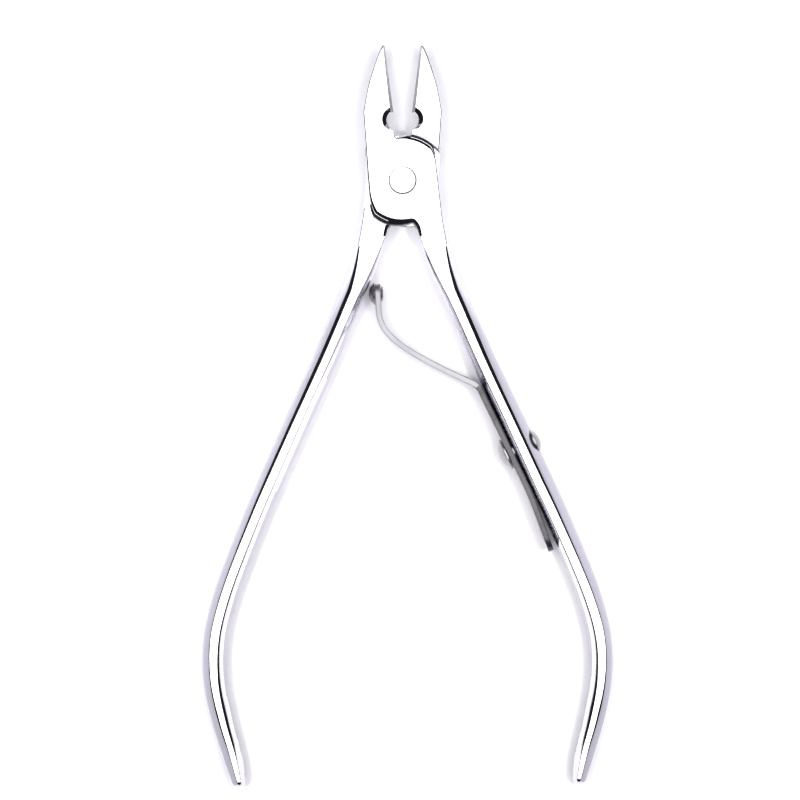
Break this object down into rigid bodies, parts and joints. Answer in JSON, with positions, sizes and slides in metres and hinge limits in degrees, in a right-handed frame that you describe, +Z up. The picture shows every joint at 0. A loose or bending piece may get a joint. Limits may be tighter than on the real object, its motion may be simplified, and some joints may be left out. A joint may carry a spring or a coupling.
{
  "type": "cuticle nipper",
  "caption": "Polished steel cuticle nipper: lap-jointed jaws on a flush pin, slim bowed handles and a riveted leaf spring that pushes the handles open.",
  "frame": {"origin": "on the pivot axis, at the flat underside the nipper lies on", "axes": "+Y along the nipper towards the jaw tips, +Z up along the pivot axis, +X to the handle that carries the spring"},
  "size_m": [0.0617, 0.1115, 0.006],
  "materials": {
    "polished_steel": "mirror polished",
    "pin_steel": "ground flush and polished",
    "spring_steel": "rolled strip, sheared edges",
    "rivet_steel": "headed, satin"
  },
  "bodies": {
    "upper": {"upper_half": "polished_steel", "pivot_pin": "pin_steel", "leaf_spring_base": "spring_steel", "spring_rivet": "rivet_steel"},
    "lower": {"lower_half": "polished_steel"},
    "spring_arm": {"leaf_spring_arm": "spring_steel", "contact_button": "rivet_steel"}
  },
  "joints": [
    {"name": "pivot", "type": "hinge", "parent": "upper", "child": "lower", "pos_m": [0, 0, 0.003], "axis": [0, 0, 1], "range_deg": [0, 15], "stiffness_Nm_per_rad": 1, "springref_deg": -2.86},
    {"name": "spring_flex", "type": "hinge", "parent": "upper", "child": "spring_arm", "pos_m": [0.00947, -0.02985, 0.003], "axis": [0, 0, 1], "range_deg": [-24, 0]}
  ],
  "couplings": [
    {"joint": "spring_flex", "follows": "pivot", "ratio": -1.55}
  ]
}
